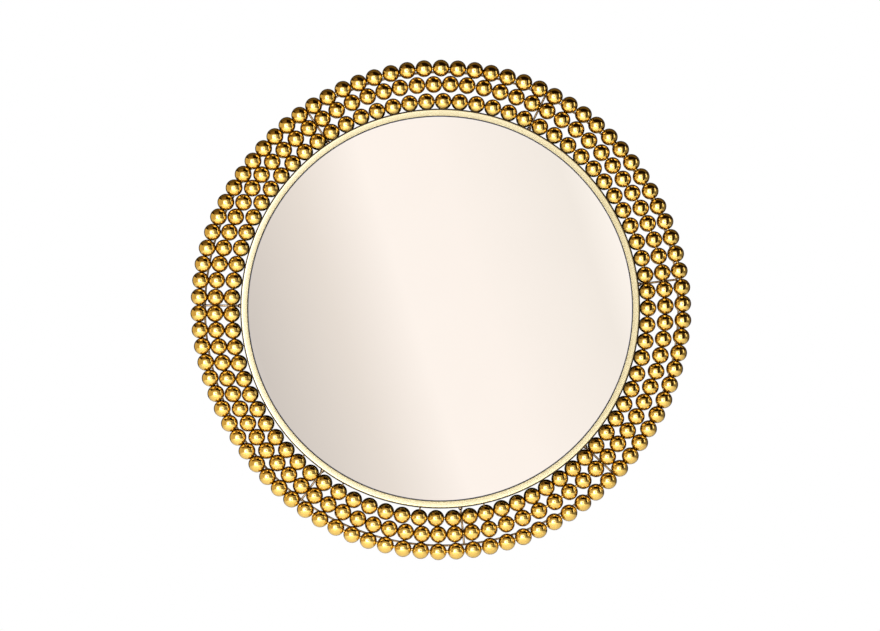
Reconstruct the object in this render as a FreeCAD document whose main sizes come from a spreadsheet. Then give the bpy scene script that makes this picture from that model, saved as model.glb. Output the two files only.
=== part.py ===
import FreeCAD
import Part
import math
import os

import Sketcher
from FreeCAD import Placement, Rotation, Vector

# A round wall mirror: a glass disc in a sheet-steel rim, with three rows of hollow metal beads round it.
# Each piece is drawn lying on its back: X to the right, Y up the wall, Z from the wall (Z = 0) to the viewer.
# HANG then stands the drawing up, so the part has +Z up, its face towards -Y and the wall at Y = 0.
HANG = Placement(Vector(0, 0, 0), Rotation(Vector(1, 0, 0), 90))
Z_TO_X = Rotation(Vector(0, 1, 0), 90)
Z_TO_Y = Rotation(Vector(1, 0, 0), -90)

# Driving sizes in millimetres, angles in degrees anticlockwise from the right, seen from the front
SIZES = {
    # beads and the wires that carry them
    "overall_diameter": 800,
    "bead_diameter": 26,
    "bead_wall": 1.0,
    "bead_bore_clearance": 0.4,
    "least_bead_gap": 0.2,
    "row_spacing": 26.4,
    "row_wire_diameter": 3.5,
    "spoke_diameter": 3.5,
    "spoke_overhang": 1.5,
    "ring_wire_diameter": 3.5,
    "ring_inset": 7.5,
    "collar_diameter": 7,
    "collar_length": 4,
    "collar_land": 1.6,
    "collar_lip": 0.4,
    "braze_gap": 0.1,
    "spoke_1_angle": 7.0,
    "spoke_2_angle": 63.7,
    "spoke_3_angle": 124.0,
    "spoke_4_angle": 179.2,
    "spoke_5_angle": 234.0,
    "spoke_6_angle": 275.8,
    "spoke_7_angle": 316.4,
    # rim
    "rim_bead_gap": 0.2,
    "rim_face_width": 12,
    "rim_sheet": 1.5,
    "rim_lip_width": 6,
    "rim_edge_rounding": 1.0,
    "bead_setback": 6,
    # glass and what lies behind it
    "glass_thickness": 4,
    "glass_clearance": 1,
    "glass_edge_bevel": 0.5,
    "gasket_thickness": 0.8,
    "gasket_reveal": 1.2,
    "gasket_skirt": 10,
    "gasket_clearance": 0.1,
    "foam_thickness": 2,
    "foam_margin": 2,
    "board_thickness": 6,
    # turn clips
    "clip_thickness": 1.5,
    "clip_width": 14,
    "clip_length": 15,
    "clip_clearance": 0.1,
    "clip_wall_clearance": 1.5,
    "first_clip_angle": 30,
    # screws
    "screw_shank_diameter": 4,
    "screw_length": 6.6,
    "screw_point_length": 1.8,
    "screw_head_diameter": 7.6,
    "screw_head_height": 2.2,
    "screw_crown_diameter": 5,
    "screw_rim_height": 0.9,
    "screw_recess_length": 4.2,
    "screw_recess_width": 1.0,
    "screw_recess_depth": 1.2,
    "screw_clearance": 0.1,
    "screw_hole_spare": 0.2,
    # ring hangers
    "hanger_side_inset": 135,
    "hanger_top_inset": 165,
    "strap_width": 12,
    "strap_length": 32,
    "strap_thickness": 1.2,
    "strap_near_screw": 10,
    "strap_end_margin": 6,
    "hanger_wire_diameter": 3,
    "hanger_wire_clearance": 0.1,
    "hanger_ring_width": 22,
    "hanger_ring_side": 7,
    "hanger_ring_corner": 4,
    # wall bumpers
    "bumper_height": 6.7,
    "bumper_diameter": 18,
    "bumper_crown": 2.5,
    "bumper_inset": 30,
}

# Places that follow from the driving sizes: radii from the mirror's axis, heights from the wall
PLACES = {
    "outer_row_radius": "Sizes.overall_diameter / 2 - Sizes.bead_diameter / 2",
    "middle_row_radius": "outer_row_radius - Sizes.row_spacing",
    "inner_row_radius": "middle_row_radius - Sizes.row_spacing",
    "rim_radius": "inner_row_radius - Sizes.bead_diameter / 2 - Sizes.rim_bead_gap",
    "opening_radius": "rim_radius - Sizes.rim_face_width",
    "wall_radius": "rim_radius - Sizes.rim_sheet",
    "lip_radius": "rim_radius - Sizes.rim_lip_width",
    "glass_radius": "lip_radius - Sizes.glass_clearance",
    "foam_radius": "glass_radius - Sizes.foam_margin",
    "gasket_inside_radius": "opening_radius - Sizes.gasket_reveal",
    "gasket_skirt_radius": "glass_radius + Sizes.gasket_clearance",
    "gasket_outside_radius": "wall_radius - Sizes.gasket_clearance",
    "board_back": "Sizes.bumper_height",
    "board_front": "board_back + Sizes.board_thickness",
    "foam_front": "board_front + Sizes.foam_thickness",
    "glass_front": "foam_front + Sizes.glass_thickness",
    "flange_back": "glass_front + Sizes.gasket_thickness",
    "rim_front": "flange_back + Sizes.rim_sheet",
    "gasket_back": "glass_front - Sizes.gasket_skirt",
    "clip_front": "board_back - Sizes.clip_clearance",
    "clip_back": "clip_front - Sizes.clip_thickness",
    "clip_screw_seat": "clip_back - Sizes.clip_clearance",
    "lip_front": "clip_back - Sizes.clip_clearance",
    "rim_back": "lip_front - Sizes.rim_sheet",
    "clip_pivot_radius": "wall_radius - Sizes.clip_wall_clearance - Sizes.clip_width / 2 - Sizes.clip_length",
    "bead_plane": "rim_front - Sizes.bead_setback",
    "bead_pitch": "Sizes.bead_diameter + Sizes.least_bead_gap",
    "bead_bore": "Sizes.row_wire_diameter / 2 + Sizes.bead_bore_clearance",
    "spoke_seat": "Sizes.bead_diameter / 2 + Sizes.spoke_diameter / 2 + Sizes.braze_gap",
    "wire_seat": "Sizes.row_wire_diameter / 2 + Sizes.spoke_diameter / 2 + Sizes.braze_gap",
    "spoke_drop": "max(wire_seat; sqrt(max(0; spoke_seat ^ 2 - bead_pitch ^ 2 / 4)))",
    "ring_radius": "outer_row_radius - Sizes.ring_inset",
    "ring_seat": "Sizes.bead_diameter / 2 + Sizes.ring_wire_diameter / 2 + Sizes.braze_gap",
    "ring_drop": "sqrt(max(0; ring_seat ^ 2 - Sizes.ring_inset ^ 2))",
    "ring_plane": "bead_plane - ring_drop",
    "lap_joint": "Sizes.spoke_diameter / 2 + Sizes.ring_wire_diameter / 2 + Sizes.braze_gap",
    "spoke_lean": "(ring_drop - lap_joint - spoke_drop) / (ring_radius - inner_row_radius)",
    "spoke_foot_radius": "rim_radius + Sizes.braze_gap + abs(spoke_lean) * Sizes.collar_diameter / 2",
    "spoke_foot_drop": "spoke_drop - spoke_lean * (inner_row_radius - spoke_foot_radius)",
    "spoke_foot_plane": "bead_plane - spoke_foot_drop",
    "spoke_tip_radius": "ring_radius + Sizes.ring_wire_diameter / 2 + Sizes.spoke_overhang",
    "screw_hole_radius": "Sizes.screw_shank_diameter / 2 + Sizes.screw_clearance",
    "knuckle_bore": "Sizes.hanger_wire_diameter / 2 + Sizes.hanger_wire_clearance",
    "knuckle_radius": "knuckle_bore + Sizes.strap_thickness",
    "hanger_pin_height": "board_back - knuckle_radius",
    "hanger_across": "lip_radius - Sizes.hanger_side_inset",
    "hanger_up": "lip_radius - Sizes.hanger_top_inset",
    "strap_back": "board_back - Sizes.strap_thickness",
    "near_screw_drop": "Sizes.strap_near_screw",
    "far_screw_drop": "Sizes.strap_length - Sizes.strap_end_margin",
    "screw_hole_depth": "Sizes.screw_length - Sizes.strap_thickness + Sizes.screw_hole_spare",
    "bumper_circle_radius": "glass_radius - Sizes.bumper_inset",
}

SPOKE_COUNT = 7
CLIP_COUNT = 6
BUMPER_ANGLES = (60, 120, 240, 300)
FULL_TURN = 360
ROUNDING_LIMIT = 0.8  # the most of a sheet's thickness that a rounded edge takes
TOLERANCE = 1e-6

doc = FreeCAD.newDocument("round_mirror")
nodes = []


def fill_sheet(name, cells):
    """Write each cell's name and content, and give the content its name as alias."""
    sheet = doc.addObject("Spreadsheet::Sheet", name)
    for row, (alias, content) in enumerate(cells.items(), start=1):
        sheet.set(f"A{row}", alias)
        sheet.set(f"B{row}", str(content))
        sheet.setAlias(f"B{row}", alias)
    doc.recompute()
    return sheet


size_sheet = fill_sheet("Sizes", SIZES)
place_sheet = fill_sheet("Places", {alias: "=" + formula for alias, formula in PLACES.items()})


def value(expression):
    """The number that an expression of the two sheets gives now."""
    return float(size_sheet.evalExpression(expression))


def keep(piece, label, placement=HANG):
    """Name a finished piece, set it upright and list it for export."""
    piece.Label = label
    piece.Placement = placement
    nodes.append(piece)
    return piece


def bind(piece, **expressions):
    """Tie properties of a document object to the sheets."""
    for name, expression in expressions.items():
        piece.setExpression(name, expression)
    return piece


def around(angle, radius, height, turn=Rotation()):
    """A place at an angle and a radius from the mirror's axis, turned with the angle."""
    across = math.radians(angle)
    spot = Vector(radius * math.cos(across), radius * math.sin(across), height)
    return Placement(spot, Rotation(Vector(0, 0, 1), angle).multiply(turn))


# Sketches and solid features

def new_sketch(body, name, role, height=None):
    """A sketch on one of the body's own origin planes, lifted off it where a height is given."""
    sketch = body.newObject("Sketcher::SketchObject", name)
    plane = next(feature for feature in body.Origin.OriginFeatures if feature.Role == role)
    sketch.AttachmentSupport = [(plane, "")]
    sketch.MapMode = "FlatFace"
    if height:
        sketch.setExpression("AttachmentOffset.Base.z", height)
    return sketch


def pin_point(sketch, edge, end, across, up):
    """Hold a point of a sketch at two expressions, or on an axis where an expression is 0."""
    for kind, axis, expression in (("DistanceX", -2, across), ("DistanceY", -1, up)):
        if expression == "0":
            sketch.addConstraint(Sketcher.Constraint("PointOnObject", edge, end, axis))
            continue
        datum = Sketcher.Constraint(kind, -1, 1, edge, end, value(expression))
        index = sketch.addConstraint(datum)
        name = f"{kind}_{edge}_{end}"
        sketch.renameConstraint(index, name)
        sketch.setExpression(f"Constraints.{name}", expression)


def draw_outline(sketch, corners):
    """A closed outline of straight runs, with a pair of expressions for each corner."""
    points = [Vector(value(across), value(up), 0) for across, up in corners]
    first = sketch.GeometryCount
    for start, end in zip(points, points[1:] + points[:1]):
        sketch.addGeometry(Part.LineSegment(start, end), False)
    for i, (across, up) in enumerate(corners):
        following = (i + 1) % len(corners)
        sketch.addConstraint(Sketcher.Constraint("Coincident", first + i, 2, first + following, 1))
        pin_point(sketch, first + i, 1, across, up)


def draw_circle(sketch, across, up, radius):
    """A circle with expressions for its centre and radius."""
    centre = Vector(value(across), value(up), 0)
    edge = sketch.addGeometry(Part.Circle(centre, Vector(0, 0, 1), value(radius)), False)
    index = sketch.addConstraint(Sketcher.Constraint("Radius", edge, value(radius)))
    sketch.renameConstraint(index, f"Radius_{edge}")
    sketch.setExpression(f"Constraints.Radius_{edge}", radius)
    pin_point(sketch, edge, 3, across, up)


def turn_profile(body, corners):
    """Turn an outline of (radius, height) corners about the body's Z axis."""
    sketch = new_sketch(body, "profile", "XZ_Plane")
    draw_outline(sketch, corners)
    turned = body.newObject("PartDesign::Revolution", "turned")
    turned.Profile = sketch
    turned.ReferenceAxis = (sketch, ["V_Axis"])
    turned.Angle = FULL_TURN
    doc.recompute()
    return turned


def pad_sketch(body, sketch, thickness):
    pad = body.newObject("PartDesign::Pad", "pad")
    pad.Profile = sketch
    bind(pad, Length=thickness)
    doc.recompute()
    return pad


def pocket_sketch(body, sketch, depth, name):
    """Cut a sketch into the solid that lies in front of it, and check that it did cut."""
    before = body.Shape.Volume
    pocket = body.newObject("PartDesign::Pocket", name)
    pocket.Profile = sketch
    pocket.Reversed = True
    bind(pocket, Length=depth)
    doc.recompute()
    if body.Shape.Volume >= before:
        raise RuntimeError(f"{body.Label}: the pocket {name} cuts nothing")
    return pocket


def round_edges(feature, height):
    """Names of the feature's circular edges at a height above the wall."""
    names = []
    for i, edge in enumerate(feature.Shape.Edges, start=1):
        if isinstance(edge.Curve, Part.Circle) and abs(edge.Curve.Center.z - height) < TOLERANCE:
            names.append(f"Edge{i}")
    return names


def group_of(label, piece, placements):
    """One node of identical separate solids; their uneven places fit no pattern feature."""
    copies = []
    for placement in placements:
        copy = piece.Shape.copy()
        copy.Placement = placement.multiply(piece.Placement)
        copies.append(copy)
    group = doc.addObject("Part::Feature", label)
    group.Shape = Part.makeCompound(copies)
    return keep(group, label)


# Rim: a hoop of sheet steel with a flat front face and a rear lip

def make_rim():
    body = doc.addObject("PartDesign::Body", "rim")
    turned = turn_profile(body, [
        ("Places.opening_radius", "Places.rim_front"),
        ("Places.rim_radius", "Places.rim_front"),
        ("Places.rim_radius", "Places.rim_back"),
        ("Places.lip_radius", "Places.rim_back"),
        ("Places.lip_radius", "Places.lip_front"),
        ("Places.wall_radius", "Places.lip_front"),
        ("Places.wall_radius", "Places.flange_back"),
        ("Places.opening_radius", "Places.flange_back"),
    ])
    rounding = body.newObject("PartDesign::Fillet", "rounded_front")
    rounding.Base = (turned, round_edges(turned, value("Places.rim_front")))
    bind(rounding, Radius=f"min(Sizes.rim_edge_rounding; Sizes.rim_sheet * {ROUNDING_LIMIT})")
    keep(body, "rim")


# Glass, its gasket, the foam and the board, stacked behind the rim's face

def make_disc(label, radius, back, thickness):
    body = doc.addObject("PartDesign::Body", label)
    sketch = new_sketch(body, "round", "XY_Plane", back)
    draw_circle(sketch, "0", "0", radius)
    pad_sketch(body, sketch, thickness)
    return keep(body, label)


def make_glass():
    body = make_disc("mirror_glass", "Places.glass_radius", "Places.foam_front", "Sizes.glass_thickness")
    pad = body.Tip
    bevel = body.newObject("PartDesign::Chamfer", "ground_edge")
    bevel.Base = (pad, round_edges(pad, value("Places.glass_front")))
    bind(bevel, Size="Sizes.glass_edge_bevel")


def make_gasket():
    body = doc.addObject("PartDesign::Body", "glazing_gasket")
    turn_profile(body, [
        ("Places.gasket_inside_radius", "Places.flange_back"),
        ("Places.gasket_outside_radius", "Places.flange_back"),
        ("Places.gasket_outside_radius", "Places.gasket_back"),
        ("Places.gasket_skirt_radius", "Places.gasket_back"),
        ("Places.gasket_skirt_radius", "Places.glass_front"),
        ("Places.gasket_inside_radius", "Places.glass_front"),
    ])
    keep(body, "glazing_gasket")


def make_board():
    body = make_disc("backing_board", "Places.glass_radius", "Places.board_back", "Sizes.board_thickness")
    clip_hole = new_sketch(body, "clip_hole", "XY_Plane", "Places.board_back")
    draw_circle(
        clip_hole,
        "Places.clip_pivot_radius * cos(Sizes.first_clip_angle * 1deg)",
        "Places.clip_pivot_radius * sin(Sizes.first_clip_angle * 1deg)",
        "Places.screw_hole_radius",
    )
    pocket = pocket_sketch(body, clip_hole, "Places.screw_hole_depth", "clip_pilot")
    ring = body.newObject("PartDesign::PolarPattern", "clip_pilots")
    ring.Originals = [pocket]
    ring.Axis = (clip_hole, ["N_Axis"])
    ring.Angle = FULL_TURN
    ring.Occurrences = CLIP_COUNT
    body.Tip = ring
    doc.recompute()
    strap_holes = new_sketch(body, "strap_holes", "XY_Plane", "Places.board_back")
    for side in ("-", ""):
        for screw in ("near", "far"):
            draw_circle(
                strap_holes,
                f"{side}Places.hanger_across",
                f"Places.hanger_up - Places.{screw}_screw_drop",
                "Places.screw_hole_radius",
            )
    pocket_sketch(body, strap_holes, "Places.screw_hole_depth", "strap_pilots")


# Beads: hollow balls bored for the wire that threads each row

def make_bead():
    ball = bind(doc.addObject("Part::Sphere", "ball"), Radius="Sizes.bead_diameter / 2")
    hollow = doc.addObject("Part::Sphere", "ball_hollow")
    bind(hollow, Radius="Sizes.bead_diameter / 2 - Sizes.bead_wall")
    bore = doc.addObject("Part::Cylinder", "ball_bore")
    bind(bore, Radius="Places.bead_bore", Height="Sizes.bead_diameter")
    bore.setExpression("Placement.Base.z", "-Sizes.bead_diameter / 2")
    shell = doc.addObject("Part::Cut", "ball_shell")
    shell.Base = ball
    shell.Tool = hollow
    bead = doc.addObject("Part::Cut", "bead")
    bead.Base = shell
    bead.Tool = bore
    doc.recompute()
    return bead


def spoke_angles():
    return [value(f"Sizes.spoke_{i}_angle") for i in range(1, SPOKE_COUNT + 1)]


def bead_angles(row_radius):
    """As many beads as fit between two spokes at the least pitch, spread so that each spoke lies in a gap."""
    angles = []
    starts = spoke_angles()
    for start, end in zip(starts, starts[1:] + [starts[0] + FULL_TURN]):
        arc = math.radians(end - start) * row_radius
        count = int(arc / value("Places.bead_pitch"))
        step = (end - start) / count
        angles += [start + step * (i + 0.5) for i in range(count)]
    return angles


def make_rows():
    bead = make_bead()
    for row in ("inner", "middle", "outer"):
        radius = f"Places.{row}_row_radius"
        angles = bead_angles(value(radius))
        height = value("Places.bead_plane")
        places = [around(angle, value(radius), height, Z_TO_Y) for angle in angles]
        group_of(f"{row}_row_beads", bead, places)
        make_ring(f"{row}_row_wire", radius, "Sizes.row_wire_diameter / 2", height)


# Wires: a ring through each row, a ring behind the outer row, and the spokes that join them to the rim

def make_ring(label, radius, wire_radius, height):
    ring = bind(doc.addObject("Part::Torus", label), Radius1=radius, Radius2=wire_radius)
    keep(ring, label, HANG.multiply(Placement(Vector(0, 0, height), Rotation())))


def make_spokes():
    """The spokes seat between the inner beads and lean back to lie on the ring."""
    height = value("Places.spoke_foot_plane")
    foot = value("Places.spoke_foot_radius")
    lean = math.degrees(math.atan(value("Places.spoke_lean")))
    leaning = Rotation(Vector(0, 1, 0), 90 + lean)
    for i, angle in enumerate(spoke_angles(), start=1):
        label = f"spoke_{i}"
        spoke = doc.addObject("Part::Cylinder", label)
        length = "(Places.spoke_tip_radius - Places.spoke_foot_radius) * sqrt(1 + Places.spoke_lean ^ 2)"
        bind(spoke, Radius="Sizes.spoke_diameter / 2", Height=length)
        keep(spoke, label, HANG.multiply(around(angle, foot, height, leaning)))
    collar = doc.addObject("PartDesign::Body", "collar")
    inside = "Sizes.spoke_diameter / 2 + Sizes.braze_gap"
    turn_profile(collar, [
        (inside, "0"),
        ("Sizes.collar_diameter / 2", "0"),
        ("Sizes.collar_diameter / 2", "Sizes.collar_land"),
        (f"{inside} + Sizes.collar_lip", "Sizes.collar_length"),
        (inside, "Sizes.collar_length"),
    ])
    group_of("spoke_collars", collar, [around(angle, foot, height, leaning) for angle in spoke_angles()])


# Turn clips: each turns on its screw, with its tip under the rim's rear lip

def clip_angles():
    first = value("Sizes.first_clip_angle")
    return [first + FULL_TURN / CLIP_COUNT * i for i in range(CLIP_COUNT)]


def make_clip(label, placement):
    """A flat plate with round ends; its screw hole is at the drawing's origin and its tip points along X."""
    body = doc.addObject("PartDesign::Body", label)
    sketch = new_sketch(body, "plate", "XY_Plane")
    half = value("Sizes.clip_width") / 2
    reach = value("Sizes.clip_length")
    up = Vector(0, 0, 1)
    heel = Part.ArcOfCircle(Part.Circle(Vector(0, 0, 0), up, half), math.pi / 2, math.pi * 1.5)
    tip = Part.ArcOfCircle(Part.Circle(Vector(reach, 0, 0), up, half), -math.pi / 2, math.pi / 2)
    lower = Part.LineSegment(Vector(0, -half, 0), Vector(reach, -half, 0))
    upper = Part.LineSegment(Vector(reach, half, 0), Vector(0, half, 0))
    sketch.addGeometry([heel, lower, tip, upper], False)
    for edge in range(4):
        sketch.addConstraint(Sketcher.Constraint("Tangent", edge, 2, (edge + 1) % 4, 1))
    pin_point(sketch, 0, 3, "0", "0")
    pin_point(sketch, 2, 3, "Sizes.clip_length", "0")
    index = sketch.addConstraint(Sketcher.Constraint("Radius", 0, half))
    sketch.renameConstraint(index, "end_radius")
    sketch.setExpression("Constraints.end_radius", "Sizes.clip_width / 2")
    draw_circle(sketch, "0", "0", "Places.screw_hole_radius")
    pad_sketch(body, sketch, "Sizes.clip_thickness")
    keep(body, label, placement)


def make_clips(screw):
    radius = value("Places.clip_pivot_radius")
    for i, angle in enumerate(clip_angles(), start=1):
        make_clip(f"turn_clip_{i}", HANG.multiply(around(angle, radius, value("Places.clip_back"))))
    seat = value("Places.clip_screw_seat")
    group_of("turn_clip_screws", screw, [around(angle, radius, seat) for angle in clip_angles()])


# Screws: pan heads with a cross recess; the head's underside is at the drawing's origin, the point along Z

def make_screw():
    body = doc.addObject("PartDesign::Body", "screw")
    head = "Sizes.screw_head_diameter / 2"
    shank = "Sizes.screw_shank_diameter / 2"
    turn_profile(body, [
        ("0", "-Sizes.screw_head_height"),
        ("Sizes.screw_crown_diameter / 2", "-Sizes.screw_head_height"),
        (head, "-Sizes.screw_rim_height"),
        (head, "0"),
        (shank, "0"),
        (shank, "Sizes.screw_length - Sizes.screw_point_length"),
        ("0", "Sizes.screw_length"),
    ])
    recess = new_sketch(body, "recess", "XY_Plane", "-Sizes.screw_head_height")
    arm = "Sizes.screw_recess_length / 2"
    half = "Sizes.screw_recess_width / 2"
    draw_outline(recess, [
        (half, half), (half, arm), (f"-{half}", arm), (f"-{half}", half),
        (f"-{arm}", half), (f"-{arm}", f"-{half}"), (f"-{half}", f"-{half}"), (f"-{half}", f"-{arm}"),
        (half, f"-{arm}"), (half, f"-{half}"), (arm, f"-{half}"), (arm, half),
    ])
    pocket_sketch(body, recess, "Sizes.screw_recess_depth", "cross_recess")
    return body


# Ring hangers: a strap curled round the straight side of a wire ring, so that the ring swings on it

def make_strap(label, placement):
    """The curl's axis runs along X through the drawing's origin; the plate hangs below it on the board."""
    plate = doc.addObject("Part::Box", f"{label}_plate")
    bind(plate, Length="Sizes.strap_width", Width="Sizes.strap_length", Height="Sizes.strap_thickness")
    plate.setExpression("Placement.Base.x", "-Sizes.strap_width / 2")
    plate.setExpression("Placement.Base.y", "-Sizes.strap_length")
    plate.setExpression("Placement.Base.z", "Places.knuckle_bore")
    curl = doc.addObject("Part::Cylinder", f"{label}_curl")
    bind(curl, Radius="Places.knuckle_radius", Height="Sizes.strap_width")
    curl.Placement.Rotation = Z_TO_X
    curl.setExpression("Placement.Base.x", "-Sizes.strap_width / 2")
    strap = doc.addObject("Part::Fuse", f"{label}_joined")
    strap.Base = plate
    strap.Tool = curl
    eye = doc.addObject("Part::Cylinder", f"{label}_eye")
    bind(eye, Radius="Places.knuckle_bore", Height="Sizes.strap_width")
    eye.Placement.Rotation = Z_TO_X
    eye.setExpression("Placement.Base.x", "-Sizes.strap_width / 2")
    strap = cut_away(f"{label}_curled", strap, eye)
    for screw in ("near", "far"):
        hole = doc.addObject("Part::Cylinder", f"{label}_{screw}_hole")
        bind(hole, Radius="Places.screw_hole_radius", Height="Sizes.strap_thickness")
        hole.setExpression("Placement.Base.y", f"-Places.{screw}_screw_drop")
        hole.setExpression("Placement.Base.z", "Places.knuckle_bore")
        strap = cut_away(f"{label}_{screw}_drilled", strap, hole)
    keep(strap, label, placement)


def cut_away(name, base, tool):
    cut = doc.addObject("Part::Cut", name)
    cut.Base = base
    cut.Tool = tool
    return cut


def make_hanger_ring(label, placement):
    """A closed wire ring: a straight side along X through the origin, round corners and a round top."""
    body = doc.addObject("PartDesign::Body", label)
    path = new_sketch(body, "path", "XY_Plane")
    half = value("Sizes.hanger_ring_width") / 2
    corner = value("Sizes.hanger_ring_corner")
    side = value("Sizes.hanger_ring_side")
    up = Vector(0, 0, 1)
    right = Part.Circle(Vector(half - corner, corner, 0), up, corner)
    left = Part.Circle(Vector(corner - half, corner, 0), up, corner)
    top = Part.Circle(Vector(0, side, 0), up, half)
    path.addGeometry([
        Part.LineSegment(Vector(corner - half, 0, 0), Vector(half - corner, 0, 0)),
        Part.ArcOfCircle(right, -math.pi / 2, 0),
        Part.LineSegment(Vector(half, corner, 0), Vector(half, side, 0)),
        Part.ArcOfCircle(top, 0, math.pi),
        Part.LineSegment(Vector(-half, side, 0), Vector(-half, corner, 0)),
        Part.ArcOfCircle(left, math.pi, math.pi * 1.5),
    ], False)
    for edge in range(6):
        path.addConstraint(Sketcher.Constraint("Tangent", edge, 2, (edge + 1) % 6, 1))
    straight = "Sizes.hanger_ring_width / 2 - Sizes.hanger_ring_corner"
    pin_point(path, 0, 1, f"-({straight})", "0")
    pin_point(path, 0, 2, straight, "0")
    pin_point(path, 3, 3, "0", "Sizes.hanger_ring_side")
    for edge in (1, 5):
        index = path.addConstraint(Sketcher.Constraint("Radius", edge, corner))
        path.renameConstraint(index, f"corner_{edge}")
        path.setExpression(f"Constraints.corner_{edge}", "Sizes.hanger_ring_corner")
    section = new_sketch(body, "section", "YZ_Plane")
    draw_circle(section, "0", "0", "Sizes.hanger_wire_diameter / 2")
    wire = body.newObject("PartDesign::AdditivePipe", "wire")
    wire.Profile = section
    wire.Spine = path
    doc.recompute()
    keep(body, label, placement)


def make_hangers(screw):
    reach = value("Places.hanger_across")
    height = value("Places.hanger_up")
    screws = []
    for side, across in (("left", -reach), ("right", reach)):
        pin = HANG.multiply(Placement(Vector(across, height, value("Places.hanger_pin_height")), Rotation()))
        make_strap(f"hanger_strap_{side}", pin)
        make_hanger_ring(f"hanger_ring_{side}", pin)
        for distance in ("near", "far"):
            drop = value(f"Places.{distance}_screw_drop")
            screws.append(Placement(Vector(across, height - drop, value("Places.strap_back")), Rotation()))
    group_of("hanger_screws", screw, screws)


# Wall bumpers: rubber feet on the board that stand on the wall

def make_bumpers():
    body = doc.addObject("PartDesign::Body", "bumper")
    turn_profile(body, [
        ("0", "0"),
        ("Sizes.bumper_diameter / 2 - Sizes.bumper_crown", "0"),
        ("Sizes.bumper_diameter / 2", "Sizes.bumper_crown"),
        ("Sizes.bumper_diameter / 2", "Sizes.bumper_height"),
        ("0", "Sizes.bumper_height"),
    ])
    radius = value("Places.bumper_circle_radius")
    group_of("wall_bumpers", body, [around(angle, radius, 0) for angle in BUMPER_ANGLES])


def check_model():
    """Stop if any object failed or any node is not one or more valid closed solids."""
    doc.recompute()
    for item in doc.Objects:
        if "Invalid" in item.State or "Error" in item.State:
            raise RuntimeError(f"{item.Label} failed: {item.State}")
    for node in nodes:
        shape = node.Shape
        if shape.isNull() or not shape.isValid() or not shape.Solids:
            raise RuntimeError(f"{node.Label} is not a valid solid")


def write_parts():
    os.makedirs("parts", exist_ok=True)
    for node in nodes:
        node.Shape.exportStep(f"parts/{node.Label}.step")
        solids = len(node.Shape.Solids)
        print(f"{node.Label}: {solids} solid(s), {node.Shape.Volume / 1000:.2f} cm3")


make_rim()
make_glass()
make_gasket()
make_disc("foam_sheet", "Places.foam_radius", "Places.board_front", "Sizes.foam_thickness")
make_board()
make_rows()
make_ring("back_ring", "Places.ring_radius", "Sizes.ring_wire_diameter / 2", value("Places.ring_plane"))
make_spokes()
shared_screw = make_screw()
make_clips(shared_screw)
make_hangers(shared_screw)
make_bumpers()
check_model()
write_parts()
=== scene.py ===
# %% [markdown]
# # A round mirror in a beaded gold frame
#
# The real object is a round glass in a narrow satin rim, with three rows of polished metal beads soldered
# round it. The measured solids are already packed as a frame: every piece stands where it is used, in
# metres, with +Z up, the face towards -Y and the wall at Y = 0. This script gives each piece its finish,
# and models again, with a finer mesh, the pieces that the light shows most: the rim, the beads and the
# rings of wire.

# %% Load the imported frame
import math
import random

import bpy
import bmesh
from mathutils import Matrix, Vector
from mathutils.kdtree import KDTree


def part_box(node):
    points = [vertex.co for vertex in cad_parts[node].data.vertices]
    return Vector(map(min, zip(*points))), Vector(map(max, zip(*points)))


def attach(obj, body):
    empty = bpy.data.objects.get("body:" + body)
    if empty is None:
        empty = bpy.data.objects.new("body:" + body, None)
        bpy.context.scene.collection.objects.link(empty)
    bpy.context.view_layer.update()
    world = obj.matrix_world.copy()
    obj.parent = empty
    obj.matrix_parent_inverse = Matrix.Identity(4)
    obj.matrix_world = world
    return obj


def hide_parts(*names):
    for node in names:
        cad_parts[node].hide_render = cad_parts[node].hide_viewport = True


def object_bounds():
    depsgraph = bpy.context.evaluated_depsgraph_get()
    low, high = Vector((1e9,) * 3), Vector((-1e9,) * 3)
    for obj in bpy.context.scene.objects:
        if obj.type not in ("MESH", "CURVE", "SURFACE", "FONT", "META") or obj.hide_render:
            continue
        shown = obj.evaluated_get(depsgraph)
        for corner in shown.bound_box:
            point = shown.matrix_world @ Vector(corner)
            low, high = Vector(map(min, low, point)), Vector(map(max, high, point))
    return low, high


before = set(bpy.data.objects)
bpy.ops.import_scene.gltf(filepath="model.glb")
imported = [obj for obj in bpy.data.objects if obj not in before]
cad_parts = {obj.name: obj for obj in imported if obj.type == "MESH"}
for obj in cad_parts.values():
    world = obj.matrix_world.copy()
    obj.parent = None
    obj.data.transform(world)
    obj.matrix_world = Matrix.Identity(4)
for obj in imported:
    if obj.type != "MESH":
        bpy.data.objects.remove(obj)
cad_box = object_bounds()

MM = 0.001
scene = bpy.context.scene

# %% [markdown]
# ## The camera
#
# The mirror is seen exactly from the front, and nothing in the picture converges, so the camera stood far
# away with a long lens. A 150 mm lens at the distance where the mirror fills the frame as it should gives
# that look. The lens shift moves the mirror a few pixels off the middle of the frame, which turning the
# camera would not do without making the circle an ellipse.

# %% Camera
FRAME_WIDTH_PX = 880
FRAME_HEIGHT_PX = 631
MIRROR_WIDTH_PX = 498.0
MIRROR_CENTRE_PX = (440.2, 308.6)
LENS = 150

mirror_width = cad_box[1].x - cad_box[0].x
bead_low, bead_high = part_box("outer_row_beads")
bead_plane = (bead_low.y + bead_high.y) / 2
view_width = mirror_width * FRAME_WIDTH_PX / MIRROR_WIDTH_PX

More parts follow.
